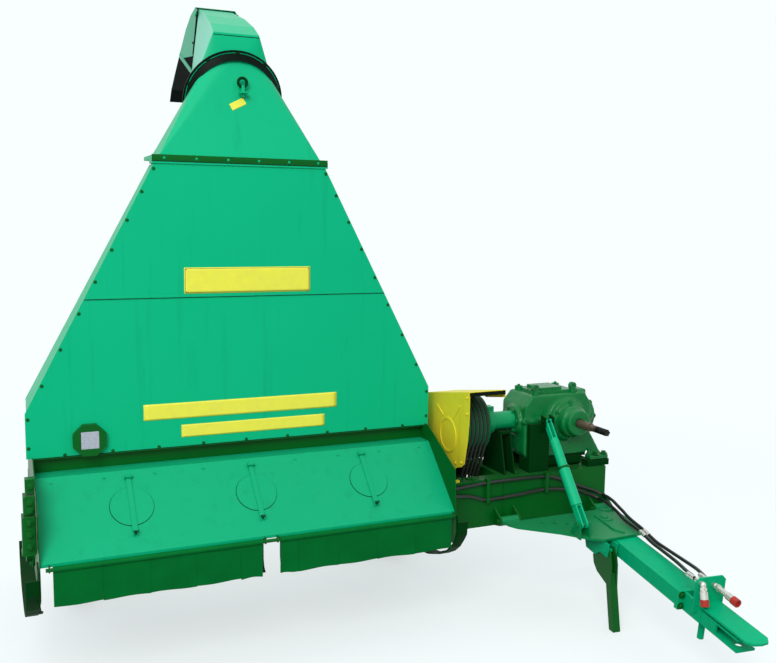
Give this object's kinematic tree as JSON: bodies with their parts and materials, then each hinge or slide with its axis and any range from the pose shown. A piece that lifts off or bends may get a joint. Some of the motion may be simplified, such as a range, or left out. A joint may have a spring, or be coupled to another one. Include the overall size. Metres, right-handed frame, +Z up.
{
  "type": "trailed rotary forage harvester",
  "caption": "Trailed flail forage harvester: wide rotor housing, tall tapering chute with a swivelling spout, side gearbox and belt drive, offset drawbar.",
  "frame": {"origin": "on the ground under the middle of the machine's length and width, parked", "axes": "+Z up, -Y the way it travels, +X its left side, where the drive and the drawbar are"},
  "size_m": [3.035, 2.7663, 3.071],
  "materials": {
    "panel_green": "gloss",
    "shade_green": "gloss",
    "guard_yellow": "gloss",
    "bare_steel": "satin",
    "hose_rubber": "matte",
    "belt_rubber": "matte",
    "tyre_rubber": "matte",
    "cap_red": "matte",
    "flap_rubber": "satin"
  },
  "bodies": {
    "frame": {"front_panel": "panel_green", "housing_shell": "panel_green", "side_plates": "panel_green", "chute_lower": "panel_green", "chute_upper": "panel_green", "reflector": "bare_steel", "skids": "shade_green", "flap_rod": "panel_green", "main_beam": "panel_green", "rear_frame": "panel_green", "rear_hitch": "shade_green", "pedestals": "shade_green", "gearbox": "panel_green", "gearbox_cover": "panel_green", "bearing_tube": "panel_green", "belt_guard": "guard_yellow", "v_belts": "belt_rubber", "frame_hoses": "hose_rubber"},
    "rotor": {"rotor": "shade_green", "rotor_pulley": "shade_green"},
    "drive": {"drive_pulley": "shade_green"},
    "input_shaft": {"pto_shaft": "bare_steel"},
    "head": {"head": "panel_green"},
    "visor": {"visor": "panel_green"},
    "flap_left": {"flap_left": "flap_rubber"},
    "flap_right": {"flap_right": "flap_rubber"},
    "hatch_left": {"hatch_left": "panel_green"},
    "hatch_middle": {"hatch_middle": "panel_green"},
    "hatch_right": {"hatch_right": "panel_green"},
    "hitch_frame": {"hitch_frame": "panel_green", "bridge_hoses": "hose_rubber"},
    "drawbar": {"drawbar": "panel_green", "hitch_head": "panel_green", "couplers": "bare_steel", "coupler_caps": "cap_red", "drawbar_hoses": "hose_rubber"},
    "strut_tube": {"strut_tube": "panel_green"},
    "strut_rod": {"strut_rod": "panel_green"},
    "stand": {"stand": "shade_green"},
    "axle": {"axle": "shade_green"},
    "wheel_left": {"tyre_left": "tyre_rubber", "rim_left": "panel_green"},
    "wheel_right": {"tyre_right": "tyre_rubber", "rim_right": "panel_green"},
    "lift_barrel": {"lift_barrel": "shade_green"},
    "lift_rod": {"lift_rod": "bare_steel"}
  },
  "joints": [
    {"name": "rotor_spin", "type": "hinge", "parent": "frame", "child": "rotor", "pos_m": [-0.5125, 0.29068, 0.542], "axis": [1, 0, 0], "continuous": true},
    {"name": "drive_spin", "type": "hinge", "parent": "frame", "child": "drive", "pos_m": [0.7875, 0.16068, 0.97], "axis": [1, 0, 0], "continuous": true},
    {"name": "pto_spin", "type": "hinge", "parent": "frame", "child": "input_shaft", "pos_m": [1.2525, -0.06432, 0.97], "axis": [0, 1, 0], "continuous": true},
    {"name": "head_swivel", "type": "hinge", "parent": "frame", "child": "head", "pos_m": [-0.5125, 0.32068, 2.58], "axis": [0, 0.9205, 0.3907], "range_deg": [-75, 75]},
    {"name": "visor_tilt", "type": "hinge", "parent": "head", "child": "visor", "pos_m": [-0.5125, 0.65068, 3.032], "axis": [1, 0, 0], "range_deg": [0, 18]},
    {"name": "flap_left_swing", "type": "hinge", "parent": "frame", "child": "flap_left", "pos_m": [-0.0185, -0.21132, 0.609], "axis": [1, 0, 0], "range_deg": [-20, 55]},
    {"name": "flap_right_swing", "type": "hinge", "parent": "frame", "child": "flap_right", "pos_m": [-0.9725, -0.21132, 0.609], "axis": [1, 0, 0], "range_deg": [-20, 55]},
    {"name": "hatch_left_lift", "type": "hinge", "parent": "frame", "child": "hatch_left", "pos_m": [0.0455, 0.05607, 0.89266], "axis": [-1, 0, 0], "range_deg": [0, 80]},
    {"name": "hatch_middle_lift", "type": "hinge", "parent": "frame", "child": "hatch_middle", "pos_m": [-0.5125, 0.05607, 0.89266], "axis": [-1, 0, 0], "range_deg": [0, 80]},
    {"name": "hatch_right_lift", "type": "hinge", "parent": "frame", "child": "hatch_right", "pos_m": [-1.0705, 0.05607, 0.89266], "axis": [-1, 0, 0], "range_deg": [0, 80]},
    {"name": "hitch_tilt", "type": "hinge", "parent": "frame", "child": "hitch_frame", "pos_m": [1.1275, -0.04932, 0.485], "axis": [1, 0, 0], "range_deg": [0, 8], "deforming": ["bridge_hoses"]},
    {"name": "drawbar_swing", "type": "hinge", "parent": "hitch_frame", "child": "drawbar", "pos_m": [1.3495, -0.17396, 0.43054], "axis": [0, -0.1132, 0.9936], "range_deg": [-24, 6]},
    {"name": "stand_fold", "type": "hinge", "parent": "drawbar", "child": "stand", "pos_m": [1.22134, -0.39639, 0.3891], "axis": [0.9962, -0.0866, -0.0099], "range_deg": [-70, 0]},
    {"name": "strut_swing", "type": "hinge", "parent": "frame", "child": "strut_tube", "pos_m": [1.0995, 0.01168, 0.978], "axis": [1, 0, 0], "range_deg": [-0.5, 2.65]},
    {"name": "strut_slide", "type": "slide", "parent": "strut_tube", "child": "strut_rod", "axis": [0, -0.6046, -0.7965], "range_m": [0, 0.03596]},
    {"name": "axle_lift", "type": "hinge", "parent": "frame", "child": "axle", "pos_m": [-0.5125, 0.71068, 0.635], "axis": [1, 0, 0], "range_deg": [-3, 24]},
    {"name": "lift_swing", "type": "hinge", "parent": "frame", "child": "lift_barrel", "pos_m": [-0.1825, 0.75268, 1.196], "axis": [1, 0, 0], "range_deg": [-2.68, 2.68]},
    {"name": "lift_slide", "type": "slide", "parent": "lift_barrel", "child": "lift_rod", "axis": [0, 0.1919, -0.9814], "range_m": [-0.06129, 0.00941]},
    {"name": "wheel_left_spin", "type": "hinge", "parent": "axle", "child": "wheel_left", "pos_m": [0.5875, 1.03068, 0.35], "axis": [1, 0, 0], "continuous": true},
    {"name": "wheel_right_spin", "type": "hinge", "parent": "axle", "child": "wheel_right", "pos_m": [-1.2125, 1.03068, 0.35], "axis": [1, 0, 0], "continuous": true}
  ],
  "couplings": [
    {"joint": "drive_spin", "follows": "rotor_spin", "ratio": 0.6667},
    {"joint": "pto_spin", "follows": "rotor_spin", "ratio": -0.3333},
    {"joint": "strut_swing", "follows": "hitch_tilt", "ratio": 0.26718},
    {"joint": "strut_slide", "follows": "hitch_tilt", "m_per_rad": 0.2432},
    {"joint": "lift_swing", "follows": "axle_lift", "ratio": -0.09076},
    {"joint": "lift_slide", "follows": "axle_lift", "m_per_rad": -0.14154}
  ]
}
